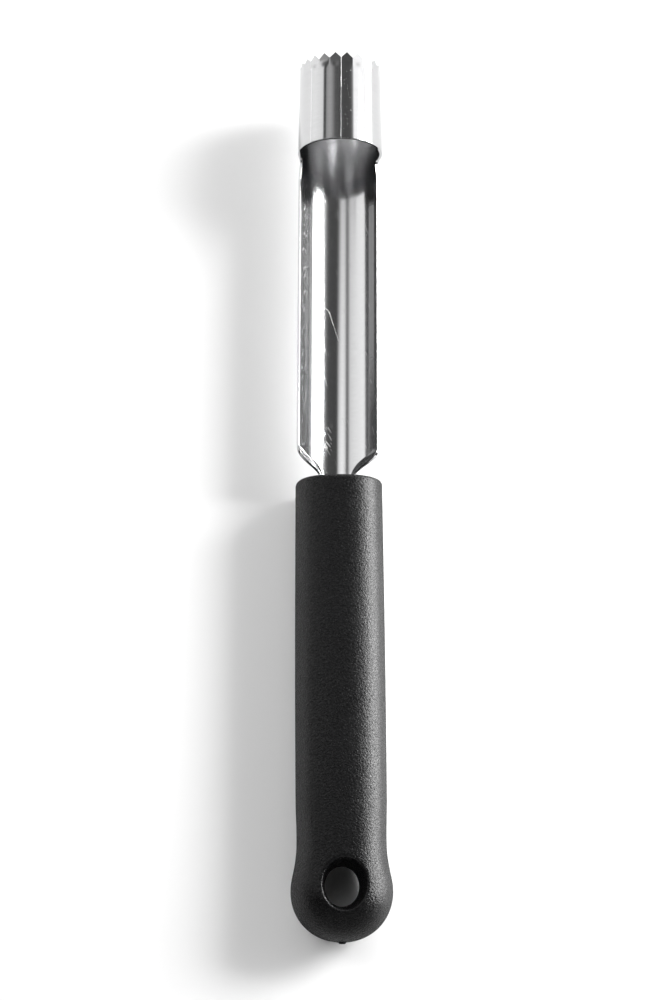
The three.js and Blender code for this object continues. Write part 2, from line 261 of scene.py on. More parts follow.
def blade_blocks():
    per = 6
    fillet_end = 9 * STEP
    rf = (fillet_end - EDGE_ANGLE) * RING_R_REAR
    theta = np.linspace(0, math.pi / 2, 7)
    fillet_u = EDGE + rf * (1 - np.cos(theta))
    fillet_low = RIM_Y - rf + rf * np.sin(theta)
    centre = np.linspace(0, 8 * STEP, 8 * per + 1)
    side = np.concatenate([
        np.linspace(8 * STEP, EDGE_ANGLE, 4)[1:],
        (fillet_u / RING_R_REAR)[1:],
        np.linspace(fillet_end, math.pi, 13 * per + 1)[1:]])
    half = np.concatenate([centre, side])
    n_edge = len(centre) + 3 - 1
    ring_cols = np.concatenate([-half[:0:-1], half])
    trough_cols = np.concatenate([-half[n_edge:0:-1], half[:n_edge + 1]])

    blocks = []

    def block(u, y, ring, keep=None):
        u, y = np.broadcast_arrays(np.asarray(u, float), np.asarray(y, float))
        blocks.append((u, y, np.full(u.shape, ring), keep))

    rows = np.concatenate([
        np.linspace(RIM_Y, 99.4, 20), np.linspace(99.4, GAP_Y, 15)[1:]])
    block(ring_cols[None, :], rows[:, None], True)
    t = np.linspace(0, 1, 6)[:, None]
    block(ring_cols[None, :] + 0 * t, GAP_Y + t * (tooth_y(ring_cols)[None, :] - GAP_Y), True)
    # fillets between the ring's rear edge and the trough's edges
    k = np.linspace(0, 1, 7)[:, None]
    y = fillet_low[None, :] + k * (RIM_Y - fillet_low[None, :])
    y[-1, :] = RIM_Y
    for sign in (1, -1):
        u = np.broadcast_to(sign * fillet_u / EDGE, y.shape)
        block(u[:, ::sign], y[:, ::sign], False)
    share = trough_cols / EDGE_ANGLE
    rows = np.concatenate([
        np.linspace(TANG_END_Y, TANG_HOLES[1][1], 5),
        np.linspace(TANG_HOLES[1][1], TANG_HOLES[1][0], 6)[1:],
        np.linspace(TANG_HOLES[1][0], TANG_HOLES[0][1], 5)[1:],
        np.linspace(TANG_HOLES[0][1], TANG_HOLES[0][0], 6)[1:],
        np.linspace(TANG_HOLES[0][0], 1.6, 8)[1:],
        np.linspace(1.6, 11.6, 74)[1:],
        np.linspace(11.6, 16.0, 12)[1:],
        np.linspace(16.0, FLARE_Y, 50)[1:],
        np.linspace(FLARE_Y, RIM_Y - rf, 10)[1:],
        np.linspace(RIM_Y - rf, RIM_Y, 7)[1:]])
    mid_y = (rows[1:] + rows[:-1]) / 2
    mid_u = (share[1:] + share[:-1]) / 2
    in_hole = np.zeros(len(mid_y), bool)
    for a, b in TANG_HOLES:
        in_hole |= (mid_y < a) & (mid_y > b)
    keep = ~(in_hole[:, None] & (np.abs(mid_u) < 0.37)[None, :])
    block(shoulder_columns(share, rows[:, None]), rows[:, None], False, keep)
    return blocks


def sheet_mesh(blocks, round_edge, name):
    """A closed sheet with rounded edges from blocks of the flat blank."""
    pos, nor, flat_uv, cells = [], [], [], []
    base = 0
    for u, y, ring, keep in blocks:
        p = mid_sheet(u, y, ring)
        n = sheet_normal(u, y, ring)
        rows, cols = u.shape
        ids = base + np.arange(rows * cols).reshape(rows, cols)
        quad = np.stack([ids[:-1, :-1], ids[:-1, 1:], ids[1:, 1:], ids[1:, :-1]], -1)
        cells.append(quad[keep] if keep is not None else quad.reshape(-1, 4))
        across = np.where(ring, u * sheet_radius(y), u * blank_half(y))
        pos.append(p.reshape(-1, 3))
        nor.append(n.reshape(-1, 3))
        flat_uv.append(np.stack([across, y], -1).reshape(-1, 2))
        base += rows * cols
    pos, nor, flat_uv = map(np.concatenate, (pos, nor, flat_uv))
    cells = np.concatenate(cells)
    key = np.round(pos * 2000).astype(np.int64)
    _, first, inverse = np.unique(key, axis=0, return_index=True, return_inverse=True)
    inverse = inverse.reshape(-1)
    n_v = len(first)
    total = np.zeros((n_v, 3))
    np.add.at(total, inverse, nor)
    nor = total / np.linalg.norm(total, axis=1, keepdims=True)
    pos, flat_uv = pos[first], flat_uv[first]
    faces = []
    for c in inverse[cells]:
        clean = [int(c[i]) for i in range(4) if c[i] != c[i - 1]]
        if len(set(clean)) == len(clean) and len(clean) >= 3:
            faces.append(clean)
    edges = {}
    for f in faces:
        for a, b in zip(f, f[1:] + f[:1]):
            if (b, a) in edges:
                del edges[(b, a)]
            else:
                edges[(a, b)] = True
    out_sum = np.zeros((n_v, 3))
    dirs = {}
    for a, b in edges:
        d = pos[b] - pos[a]
        length = np.linalg.norm(d)
        side = np.cross(d / length, nor[a] + nor[b])
        side /= np.linalg.norm(side)
        # the sheet is on the other side of the edge from this direction
        for v in (a, b):
            dirs.setdefault(v, []).append(side)
    # which way is outward: away from the cells
    centre_of = {}
    for f in faces:
        c = pos[f].mean(axis=0)
        for a, b in zip(f, f[1:] + f[:1]):
            if (a, b) in edges:
                centre_of[(a, b)] = c
    (a0, b0), c0 = next(iter(centre_of.items()))
    sample = np.cross((pos[b0] - pos[a0]), nor[a0] + nor[b0])
    outward_sign = 1.0 if np.dot(sample, (pos[a0] + pos[b0]) / 2 - c0) > 0 else -1.0
    rim = sorted(dirs)
    rim_index = {v: i for i, v in enumerate(rim)}
    out = np.zeros((len(rim), 3))
    miter = np.ones(len(rim))
    for v, sides in dirs.items():
        s = outward_sign * np.sum(sides, axis=0) / len(sides)
        length = max(np.linalg.norm(s), 0.35)
        out[rim_index[v]] = s / max(np.linalg.norm(s), 1e-9)
        miter[rim_index[v]] = min(1 / length, 1.7)
    rim = np.array(rim)
    half = SHEET / 2
    b = round_edge(flat_uv[rim])
    arc = np.radians([90, 67.5, 45, 22.5, 0])
    steps = [(np.cos(t) - 1, np.sin(t) - 1, np.cos(t), np.sin(t), 1) for t in arc]
    steps += [(np.cos(t) - 1, 1 - np.sin(t), np.cos(t), -np.sin(t), -1) for t in arc[::-1]]
    verts = [pos + nor * half, pos - nor * half]
    normals = [nor, -nor]
    uvs = [flat_uv, flat_uv]
    for layer, face in ((0, 0), (1, -1)):
        s = steps[face]
        verts[layer][rim] = (pos[rim] + out * (s[0] * b * miter)[:, None]
                             + nor[rim] * (s[4] * half + s[1] * b)[:, None])
    ids = {0: rim, len(steps) - 1: rim + n_v}
    base = 2 * n_v
    for k in range(1, len(steps) - 1):
        s = steps[k]
        verts.append(pos[rim] + out * (s[0] * b * miter)[:, None]
                     + nor[rim] * (s[4] * half + s[1] * b)[:, None])
        normals.append(out * s[2] + nor[rim] * s[3])
        uvs.append(flat_uv[rim])
        ids[k] = base + np.arange(len(rim))
        base += len(rim)
    all_faces = []
    # orientation: the outer layer faces along nor
    f0 = faces[0]
    cross = np.cross(pos[f0[1]] - pos[f0[0]], pos[f0[2]] - pos[f0[0]])
    same = np.dot(cross, nor[f0[0]]) > 0
    for f in faces:
        g = [v + n_v for v in f]
        all_faces.append(f if same else f[::-1])
        all_faces.append(g[::-1] if same else g)
    for a, b2 in edges:
        ia, ib = rim_index[a], rim_index[b2]
        for k in range(len(steps) - 1):
            q = [ids[k][ib], ids[k][ia], ids[k + 1][ia], ids[k + 1][ib]]
            q = [int(v) for v in q]
            all_faces.append(q if same else q[::-1])
    verts = askew(np.concatenate(verts))
    normals = askew(np.concatenate(normals), 0.0)
    normals /= np.linalg.norm(normals, axis=1, keepdims=True)
    uvs = np.concatenate(uvs)
    mesh = bpy.data.meshes.new(name)
    mesh.from_pydata((verts * MM).tolist(), [], all_faces)
    mesh.polygons.foreach_set("use_smooth", np.ones(len(mesh.polygons), bool))
    layer = mesh.uv_layers.new(name="blank")
    loops = np.zeros(len(mesh.loops), np.int32)
    mesh.loops.foreach_get("vertex_index", loops)
    layer.data.foreach_set("uv", uvs[loops].astype(np.float32).ravel())
    inner = np.zeros(len(verts), np.float32)
    inner[n_v:2 * n_v] = 1.0
    mesh.attributes.new("inner", "FLOAT", "POINT").data.foreach_set("value", inner)
    mesh.normals_split_custom_set_from_vertices([tuple(v) for v in normals])
    mesh.update()
    return mesh


def edge_round(uv):
    """Edge rounding in mm: softer along the seam and the trough, crisp on the teeth."""
    seam = (uv[:, 1] > RIM_Y + 0.5) & (uv[:, 1] < GAP_Y - 0.05) & (np.abs(uv[:, 0]) > 28)
    teeth = uv[:, 1] >= GAP_Y - 0.05
    shoulder = (uv[:, 1] < 10.4) & (uv[:, 1] > 1.8)
    return np.where(seam, 0.045, np.where(teeth, 0.07, np.where(shoulder, 0.2, 0.11)))


blade_mesh = sheet_mesh(blade_blocks(), edge_round, "blade_sheet")
blade = bpy.data.objects.new("blade_sheet", blade_mesh)
bpy.context.scene.collection.objects.link(blade)

# -------------------------------------------------------------------- handle
handle_width = curve_through(HANDLE_WIDTH)


def rounded_and(a, b, r):
    """Distance to what is inside both a and b, with the corner rounded to r."""
    ar, br = a + r, b + r
    return (np.minimum(np.maximum(ar, br), 0)
            + np.hypot(np.maximum(ar, 0), np.maximum(br, 0)) - r)


def handle_field(p):
    x, y, z = p[..., 0], p[..., 1], p[..., 2] - AXIS_Z
    k = SQUARENESS + smooth(-80, -94, y) * (np.where(z < 0, 2.5, 2.2) - SQUARENESS)
    w = handle_width(np.maximum(y, BULB_Y))
    section = ((np.abs(x) / w + 1e-9) ** k + (np.abs(z) / HALF_HEIGHT + 1e-9) ** k) ** (1 / k)
    past = np.maximum(BULB_Y - y, 0) / BULB_LENGTH
    side = ((section**2.08 + past**2.08) ** (1 / 2.08) - 1) * HALF_HEIGHT
    body = rounded_and(side, y - FRONT_Y, 0.7)
    # gate mark
    nub = rounded_and(np.hypot(x, z) - 0.78, np.abs(y + 104.6) - 0.62, 0.12)
    body = np.minimum(body, nub)
    up = np.abs(z)
    a = 3.95 + 0.116 * up
    hole = (np.sqrt((x / a) ** 2 + ((y - HOLE_Y) / (a * HOLE_STRETCH)) ** 2 + 1e-9) - 1) * a
    return rounded_and(body, -hole, 0.5)


def surface_of(field, low, high, h):
    """Quads on the zero surface of a field, pulled onto it."""
    axes = [np.arange(low[i], high[i] + h, h) for i in range(3)]
    gx, gy, gz = np.meshgrid(*axes, indexing="ij")
    f = field(np.stack([gx, gy, gz], -1))
    inside = f < 0
    n = np.array(f.shape) - 1
    total = np.zeros((*n, 3))
    count = np.zeros(n)
    corners = [(i, j, k) for i in (0, 1) for j in (0, 1) for k in (0, 1)]

    def at(arr, c):
        return arr[c[0]:c[0] + n[0], c[1]:c[1] + n[1], c[2]:c[2] + n[2]]

    for c in corners:
        for axis in range(3):
            if c[axis]:
                continue
            d = list(c)
            d[axis] = 1
            fa, fb = at(f, c), at(f, d)
            cross = (fa < 0) != (fb < 0)
            t = np.where(cross, fa / np.where(cross, fa - fb, 1), 0)
            for i in range(3):
                total[..., i] += np.where(cross, c[i] + (t if i == axis else 0), 0)
            count += cross
    active = count > 0
    cell_id = -np.ones(n, np.int64)
    cell_id[active] = np.arange(active.sum())
    where = np.argwhere(active)
    pts = (where + total[active] / count[active][:, None]) * h + np.array(low)
    quads = []
    for axis in range(3):
        o1, o2 = [i for i in range(3) if i != axis]
        sl_a = [slice(1, -1)] * 3
        sl_b = [slice(1, -1)] * 3
        sl_a[axis] = slice(0, -1)
        sl_b[axis] = slice(1, None)
        ia, ib = inside[tuple(sl_a)], inside[tuple(sl_b)]
        idx = np.argwhere(ia != ib)
        starts = ia[ia != ib]
        idx = idx + np.array([0 if i == axis else 1 for i in range(3)])
        step1 = np.eye(3, dtype=int)[o1]
        step2 = np.eye(3, dtype=int)[o2]
        q = np.stack([cell_id[tuple((idx - s1 * step1 - s2 * step2).T)]
                      for s1, s2 in ((0, 0), (1, 0), (1, 1), (0, 1))], -1)
        flip = starts if axis != 1 else ~starts
        q[~flip] = q[~flip][:, ::-1]
        quads.append(q)
    quads = np.concatenate(quads)
    neighbours = [quads[:, [i, (i + 1) % 4]] for i in range(4)]
    pairs = np.concatenate(neighbours)
    pairs = np.concatenate([pairs, pairs[:, ::-1]])
    degree = np.bincount(pairs[:, 0], minlength=len(pts)).astype(float)

    def pull(p, times):
        e = 1e-3
        for _ in range(times):
            v = field(p)
            g = np.stack([(field(p + e * d) - field(p - e * d)) / (2 * e) for d in np.eye(3)], -1)
            s = v / np.maximum(np.sum(g * g, -1), 0.05)
            p = p - np.clip(s, -0.4, 0.4)[:, None] * g
        return p

    pts = pull(pts, 3)
    for _ in range(3):
        mean = np.zeros_like(pts)
        np.add.at(mean, pairs[:, 0], pts[pairs[:, 1]])
        pts = pts + 0.5 * (mean / degree[:, None] - pts)
        pts = pull(pts, 2)
    return pts, quads


h = 0.36
pts, quads = surface_of(handle_field, (-12.6, -105.9, AXIS_Z - 11.2), (12.6, 3.0, AXIS_Z + 11.2), h)
handle_mesh = bpy.data.meshes.new("handle_moulding")
handle_mesh.from_pydata((pts * MM).tolist(), [], quads.tolist())
handle_mesh.update()
handle = bpy.data.objects.new("handle_moulding", handle_mesh)
bpy.context.scene.collection.objects.link(handle)


def pocket_mesh():
    """Room for the tang, a hair wider than the steel, open at the front face."""
    half = float(blank_half(np.array(0.0))) + 0.10
    thick = SHEET / 2 + 0.08
    us = np.linspace(-half, half, 25)
    ring = []
    for sign, order in ((1, us), (-1, us[::-1])):
        for u in order:
            a = u / TROUGH_R
            r = TROUGH_R + sign * thick
            ring.append((r * math.sin(a), AXIS_Z + TROUGH_R - r * math.cos(a)))
    n = len(ring)
    verts = [(x, y, z) for y in (TANG_END_Y - 0.3, FRONT_Y + 1.0) for x, z in ring]
    verts = (askew(verts) * MM).tolist()
    faces = [[i, (i + 1) % n, n + (i + 1) % n, n + i] for i in range(n)]
    faces += [list(range(n))[::-1], list(range(n, 2 * n))]
    mesh = bpy.data.meshes.new("pocket")
    mesh.from_pydata(verts, [], faces)
    mesh.update()
    return mesh


pocket = bpy.data.objects.new("pocket", pocket_mesh())
bpy.context.scene.collection.objects.link(pocket)
cut = handle.modifiers.new("pocket", "BOOLEAN")
cut.operation = "DIFFERENCE"
cut.solver = "EXACT"
cut.object = pocket
bpy.context.view_layer.update()
cut_mesh = bpy.data.meshes.new_from_object(handle.evaluated_get(bpy.context.evaluated_depsgraph_get()))
handle.modifiers.clear()
handle.data = cut_mesh
cut_mesh.name = "handle_moulding"
bpy.data.meshes.remove(handle_mesh)
pocket_data = pocket.data
bpy.data.objects.remove(pocket)
bpy.data.meshes.remove(pocket_data)
handle.data.polygons.foreach_set("use_smooth", np.ones(len(handle.data.polygons), bool))
handle.data.set_sharp_from_angle(angle=math.radians(50))
handle.data.update()

# ----------------------------------------------------------------- materials


class Nodes:
    """Short hand for building a node tree."""

    def __init__(self, tree):
        self.tree = tree
        tree.nodes.clear()

    def add(self, kind, **values):
        node = self.tree.nodes.new(kind)
        for name, value in values.items():
            setattr(node, name, value)
        return node

    def link(self, a, b):
        self.tree.links.new(a, b)

    def put(self, socket, value):
        if isinstance(value, bpy.types.NodeSocket):
            self.link(value, socket)
        else:
            socket.default_value = value

    def math(self, op, a, b=0.0, c=None, clamp=False):
        node = self.add("ShaderNodeMath", operation=op, use_clamp=clamp)
        self.put(node.inputs[0], a)
        self.put(node.inputs[1], b)
        if c is not None:
            self.put(node.inputs[2], c)
        return node.outputs[0]

    def range(self, value, a, b, c, d, kind="SMOOTHSTEP"):
        node = self.add("ShaderNodeMapRange", interpolation_type=kind, clamp=True)
        for i, v in enumerate((value, a, b, c, d)):
            self.put(node.inputs[i], v)
        return node.outputs[0]

    def noise(self, vector, scale, detail=2.0, rough=0.5):
        node = self.add("ShaderNodeTexNoise")
        self.put(node.inputs["Vector"], vector)
        node.inputs["Scale"].default_value = scale
        node.inputs["Detail"].default_value = detail
        node.inputs["Roughness"].default_value = rough
        return node.outputs["Fac"]

    def stretch(self, vector, scale, turn=0.0, move=(0, 0, 0)):
        node = self.add("ShaderNodeMapping")
        self.put(node.inputs["Vector"], vector)
        # turned first, then scaled
        node.vector_type = "TEXTURE"
        node.inputs["Location"].default_value = move
        node.inputs["Rotation"].default_value = (0, 0, turn)
        node.inputs["Scale"].default_value = [1 / v for v in scale]
        return node.outputs[0]

    def bump(self, height, distance, strength=1.0, normal=None):
        node = self.add("ShaderNodeBump")
        node.inputs["Strength"].default_value = strength
        node.inputs["Distance"].default_value = distance
        self.put(node.inputs["Height"], height)
        if normal is not None:
            self.put(node.inputs["Normal"], normal)
        return node.outputs[0]


def steel_material():
    mat = bpy.data.materials.new("rolled_stainless")
    mat.use_nodes = True
    n = Nodes(mat.node_tree)
    out = n.add("ShaderNodeOutputMaterial")
    bsdf = n.add("ShaderNodeBsdfPrincipled")
    n.link(bsdf.outputs[0], out.inputs[0])
    bsdf.inputs["Metallic"].default_value = 1.0
    bsdf.inputs["Specular Tint"].default_value = (0.97, 0.97, 0.97, 1)
    uv = n.add("ShaderNodeUVMap", uv_map="blank").outputs[0]
    split = n.add("ShaderNodeSeparateXYZ")
    n.link(uv, split.inputs[0])
    across, along = split.outputs[0], split.outputs[1]
    inner = n.add("ShaderNodeAttribute", attribute_name="inner").outputs["Fac"]
    on_ring = n.range(along, 80.0, 84.0, 0.0, 1.0)
    # rolling lines across the blade, and a slow cloudiness
    lines = n.noise(n.stretch(uv, (0.35, 9.0, 1)), 1.0, 3.0, 0.6)
    cloud = n.noise(n.stretch(uv, (0.10, 0.03, 1)), 1.0, 2.0)
    rough = n.math("ADD", n.range(lines, 0.3, 0.7, -0.012, 0.012), n.range(cloud, 0.35, 0.65, 0.125, 0.135))
    ring_in = n.math("MULTIPLY", inner, n.range(along, 77.0, 84.0, 0.0, 1.0))
    ring_out = n.math("MULTIPLY", on_ring, n.math("SUBTRACT", 1.0, inner))
    rough = n.math("ADD", rough, n.math("MULTIPLY", ring_in, 0.075))
    rough = n.math("SUBTRACT", rough, n.math("MULTIPLY", ring_out, 0.04))
    in_trough = n.math("MULTIPLY", inner, n.range(along, 76.0, 79.0, 1.0, 0.0))

    def strokes(turn, scale, low, high, move=(0, 0, 0)):
        """Short scratches along one direction."""
        return n.range(n.noise(n.stretch(uv, scale, turn, move), 1.0, 1.0), low, high, 0.0, 1.0)

    def both(*masks):
        total = masks[0]
        for m in masks[1:]:
            total = n.math("MULTIPLY", total, m)
        return total

    # one long curved scratch down the trough
    path = n.add("ShaderNodeFloatCurve")
    n.put(path.inputs["Value"], n.range(along, 38.0, 46.4, 0.0, 1.0, "LINEAR"))
    curve = path.mapping.curves[0]
    run = [(38.0, 0.36), (40.74, -0.46), (42.25, -0.97), (43.75, -1.49), (45.24, -2.01), (45.93, -2.8), (46.4, -3.6)]
    for i, (v, u) in enumerate(run):
        spot_on = ((v - 38.0) / 8.4, (u + 4.0) / 5.0)
        if i < 2:
            curve.points[0 if i == 0 else 1].location = spot_on
        else:
            curve.points.new(*spot_on)
    path.mapping.update()
    off = n.math("SUBTRACT", across, n.math("MULTIPLY_ADD", path.outputs[0], 5.0, -4.0))
    long_one = both(n.range(n.math("ABSOLUTE", off), 0.05, 0.12, 1.0, 0.0),
                    n.range(along, 37.9, 38.1, 0.0, 1.0), n.range(along, 46.3, 46.4, 1.0, 0.0))
    # cross hatching near the neck, scuffs on the left side, specks on the ring
    hatch = both(strokes(math.radians(33), (4.2, 0.4, 1), 0.54, 0.64),
                 n.range(across, -3.5, -2.9, 0.0, 1.0), n.range(across, -1.4, -0.5, 1.0, 0.0),
                 n.range(along, 8.0, 10.0, 0.0, 1.0), n.range(along, 15.5, 18.5, 1.0, 0.0))
    scuffs = both(strokes(math.radians(-24), (3.4, 0.5, 1), 0.55, 0.75, (4, 2, 0)),
                  n.range(across, -8.6, -9.2, 0.0, 1.0))
    stray = both(strokes(math.radians(20), (2.4, 0.16, 1), 0.68, 0.74, (1, 7, 0)),
                 n.range(across, -4.0, -3.0, 0.0, 1.0))
    marks = n.math("MAXIMUM", n.math("MULTIPLY", hatch, 0.4), n.math("MULTIPLY", n.math("MAXIMUM", scuffs, stray), 0.25))
    marks = n.math("MAXIMUM", marks, long_one)
    marks = both(marks, in_trough)
    specks = both(n.range(n.noise(n.stretch(uv, (2.2, 2.2, 1)), 1.0, 1.0), 0.70, 0.76, 0.0, 1.0),
                  ring_out, n.range(across, 26.5, 28.0, 0.0, 1.0))
    marks = n.math("MAXIMUM", marks, specks)
    # the walls of the trough are hazier where the sheet was bent
    haze = n.math("MAXIMUM", both(n.range(across, -7.0, -7.7, 0.0, 1.0), n.range(along, 12.0, 50.0, 0.03, 0.06)),
                  both(n.range(across, 8.6, 9.1, 0.0, 0.22), n.range(across, 10.3, 10.8, 1.0, 0.0),
                       n.range(along, 14.0, 46.0, 0.0, 1.0)))
    rough = n.math("ADD", rough, both(haze, inner, n.range(along, 70.0, 74.0, 1.0, 0.0)))
    n.put(bsdf.inputs["Roughness"], n.math("ADD", rough, n.math("MULTIPLY", marks, 0.42), clamp=True))
    # fine rings left by turning the cutting end
    turned = n.math("MULTIPLY", n.noise(n.stretch(uv, (0.12, 6.0, 1)), 1.0, 2.0), on_ring)
    tone = n.math("ADD", n.range(lines, 0.3, 0.7, 0.0, 1.0), n.range(turned, 0.4, 0.7, 0.0, 0.8))
    mix = n.add("ShaderNodeMix", data_type="RGBA")
    n.put(mix.inputs[0], tone)
    mix.inputs[6].default_value = (0.545, 0.545, 0.55, 1)
    mix.inputs[7].default_value = (0.595, 0.595, 0.60, 1)
    # painted shade: inside the ring the steel takes one tone, a little darker than the outside's average, to darken
    # the ring's hollow
    shaded_ring_inside = n.add("ShaderNodeMix", data_type="RGBA")
    n.put(shaded_ring_inside.inputs[0], ring_in)
    n.put(shaded_ring_inside.inputs[6], mix.outputs[2])
    shaded_ring_inside.inputs[7].default_value = (0.55, 0.55, 0.555, 1)
    bright = n.add("ShaderNodeMix", data_type="RGBA")
    n.put(bright.inputs[0], marks)
    n.put(bright.inputs[6], shaded_ring_inside.outputs[2])
    bright.inputs[7].default_value = (0.86, 0.86, 0.86, 1)
    n.put(bsdf.inputs["Base Color"], bright.outputs[2])
    return mat


def plastic_material():
    mat = bpy.data.materials.new("grained_plastic")
    mat.use_nodes = True
    n = Nodes(mat.node_tree)
    out = n.add("ShaderNodeOutputMaterial")
    bsdf = n.add("ShaderNodeBsdfPrincipled")
    n.link(bsdf.outputs[0], out.inputs[0])
    where = n.add("ShaderNodeTexCoord").outputs["Object"]
    grain = n.noise(where, 2300.0, 2.0, 0.55)
    fine = n.noise(where, 6200.0, 1.0)
    slow = n.noise(where, 160.0, 2.0)
    height = n.math("ADD", n.math("MULTIPLY", grain, 0.75), n.math("MULTIPLY", fine, 0.25))
    n.put(bsdf.inputs["Normal"], n.bump(height, 0.00024, 0.8))
    sparkle = n.range(n.noise(where, 3400.0, 2.0, 0.6), 0.38, 0.66, -0.05, 0.07)
    n.put(bsdf.inputs["Roughness"], n.math("ADD", n.range(slow, 0.3, 0.7, 0.26, 0.30), sparkle))
    # painted shade: the gate mark at the end and a ring around it lose their reflection, standing in for the shade in
    # the recess around the nub
    gate = n.add("ShaderNodeVectorMath", operation="DISTANCE")
    n.put(gate.inputs[0], where)
    gate.inputs[1].default_value = (0, -0.1049, AXIS_Z * MM)
    # grain shades itself when seen along the surface
    facing = n.add("ShaderNodeLayerWeight")
    facing.inputs["Blend"].default_value = 0.5
    level = n.range(facing.outputs["Facing"], 0.3, 0.88, 0.45, 0.008)
    level = n.math("MULTIPLY", level, n.range(n.noise(where, 2000.0, 2.0, 0.6), 0.36, 0.66, 0.85, 1.18))
    place = n.add("ShaderNodeSeparateXYZ")
    n.put(place.inputs[0], where)
    # painted shade: towards the left side the reflection is turned down, so that side of the handle is darker
    level = n.math("MULTIPLY", level, n.range(place.outputs[0], -0.0095, -0.003, 0.6, 1.0))
    # painted shade: towards the end of the bulb the reflection is turned down, so the bulb's end is darker
    level = n.math("MULTIPLY", level, n.range(place.outputs[1], -0.103, -0.095, 0.25, 1.0))
    # the gate mark's painted shade is applied here
    n.put(bsdf.inputs["Specular IOR Level"], n.math("MULTIPLY", level, n.range(gate.outputs["Value"], 0.0008, 0.0012, 0.04, 1.0)))
    mix = n.add("ShaderNodeMix", data_type="RGBA")
    n.put(mix.inputs[0], n.range(grain, 0.35, 0.7, 0.0, 1.0))
    mix.inputs[6].default_value = (0.0025, 0.0025, 0.0027, 1)
    mix.inputs[7].default_value = (0.006, 0.006, 0.0063, 1)
    n.put(bsdf.inputs["Base Color"], mix.outputs[2])
    return mat


blade.data.materials.append(steel_material())
handle.data.materials.append(plastic_material())

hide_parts("blade")
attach(blade, "root")
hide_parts("handle")
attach(handle, "root")

# ------------------------------------------------------------- floor, lights
floor_mesh = bpy.data.meshes.new("floor")
floor_mesh.from_pydata([(-3, -3, 0), (3, -3, 0), (3, 3, 0), (-3, 3, 0)], [], [[0, 1, 2, 3]])
floor = bpy.data.objects.new("floor", floor_mesh)
bpy.context.scene.collection.objects.link(floor)
floor_mat = bpy.data.materials.new("white_table")
floor_mat.use_nodes = True
fn = Nodes(floor_mat.node_tree)
fo = fn.add("ShaderNodeOutputMaterial")
fb = fn.add("ShaderNodeBsdfPrincipled")
fn.link(fb.outputs[0], fo.inputs[0])
fb.inputs["Base Color"].default_value = (0.86, 0.86, 0.86, 1)
fb.inputs["Roughness"].default_value = 0.75
fb.inputs["Specular IOR Level"].default_value = 0.2
# the table stays bright far from the lights
far_off = fn.add("ShaderNodeVectorMath", operation="LENGTH")
fn.link(fn.add("ShaderNodeTexCoord").outputs["Object"], far_off.inputs[0])
fb.inputs["Emission Color"].default_value = (1, 1, 1, 1)
fn.put(fb.inputs["Emission Strength"], fn.range(far_off.outputs["Value"], 0.3, 0.8, 0.0, 0.75))
floor_mesh.materials.append(floor_mat)

# a soft box on the right, towards the blade's end, and soft fill along the table
def soft_light(name, place, width, height, radiance, facing=(0, 0, 0.01), long_side=(0, 1, 0)):
    light = bpy.data.lights.new(name, "AREA")
    light.shape = "RECTANGLE"
    light.size = width
    light.size_y = height
    light.energy = radiance * math.pi * width * height
    obj = bpy.data.objects.new(name, light)
    z = (Vector(place) - Vector(facing)).normalized()
    x = (Vector(long_side) - z * z.dot(Vector(long_side))).normalized()
    y = z.cross(x)
    obj.matrix_world = Matrix((
        (x.x, y.x, z.x, place[0]), (x.y, y.y, z.y, place[1]), (x.z, y.z, z.z, place[2]), (0, 0, 0, 1)))
    bpy.context.scene.collection.objects.link(obj)
    return obj


for name, place, width, height, radiance, facing, long_side in (
        ("soft_box", (0.826, 0.376, 0.632), 0.48, 0.33, 25.0, (0, 0, 0.01), (0.63, -0.55, -0.54)),
        ("fill_side", (-0.45, 0.30, 0.50), 0.45, 0.35, 5.4, (0, 0, 0), (0, 1, 0)),
        ("fill_near", (-0.12, -0.75, 1.00), 0.9, 0.7, 0.25, (0, 0, 0), (1, 0, 0)),
        ("fill_far", (-0.15, 1.0, 0.85), 0.8, 0.6, 1.6, (0, 0, 0), (1, 0, 0)),
        ("fill_top", (0, 0, 1.6), 6.0, 6.0, 0.08, (0, 0, 0), (1, 0, 0)),
        ("spill", (0.12, -0.045, 0.05), 0.10, 0.20, 3.0, (0.12, -0.045, 0), (0, 1, 0))):
    soft_light(name, place, width, height, radiance, facing, long_side).visible_glossy = False
# what the steel and the plastic mirror
for piece, name, place, width, height, radiance, facing, long_side in (
        (blade, "steel_box", (0.438, 0.188, 0.284), 0.24, 0.165, 28.0, (0, 0, 0.01), (0.63, -0.55, -0.54)),
        (blade, "steel_panel", (0.62, 0.26, 0.10), 0.42, 0.19, 8.0, (0, 0.26, 0.10), (0, 1, 0)),
        (handle, "low_panel", (0.62, 0.15, 0.11), 0.66, 0.20, 18.0, (0, 0.15, 0.055), (0, 1, 0)),
        (handle, "mid_panel", (0.62, 0.25, 0.33), 0.40, 0.22, 5.0, (0, 0.25, 0.165), (0, 1, 0))):
    panel = soft_light(name, place, width, height, radiance, facing, long_side)
    panel.visible_diffuse = False
    only = bpy.data.collections.new(name)
    only.objects.link(piece)
    panel.light_linking.receiver_collection = only

world = bpy.data.worlds.new("studio")
bpy.context.scene.world = world
world.use_nodes = True
w = Nodes(world.node_tree)
wo = w.add("ShaderNodeOutputWorld")
bg = w.add("ShaderNodeBackground")
w.link(bg.outputs[0], wo.inputs[0])
split = w.add("ShaderNodeSeparateXYZ")
w.link(w.add("ShaderNodeTexCoord").outputs["Generated"], split.inputs[0])
side_angle = w.math("MULTIPLY", w.math("ARCTAN2", split.outputs[0], split.outputs[2]), 180 / math.pi)
along_angle = w.math("MULTIPLY", w.math("ARCSINE", split.outputs[1]), 180 / math.pi)


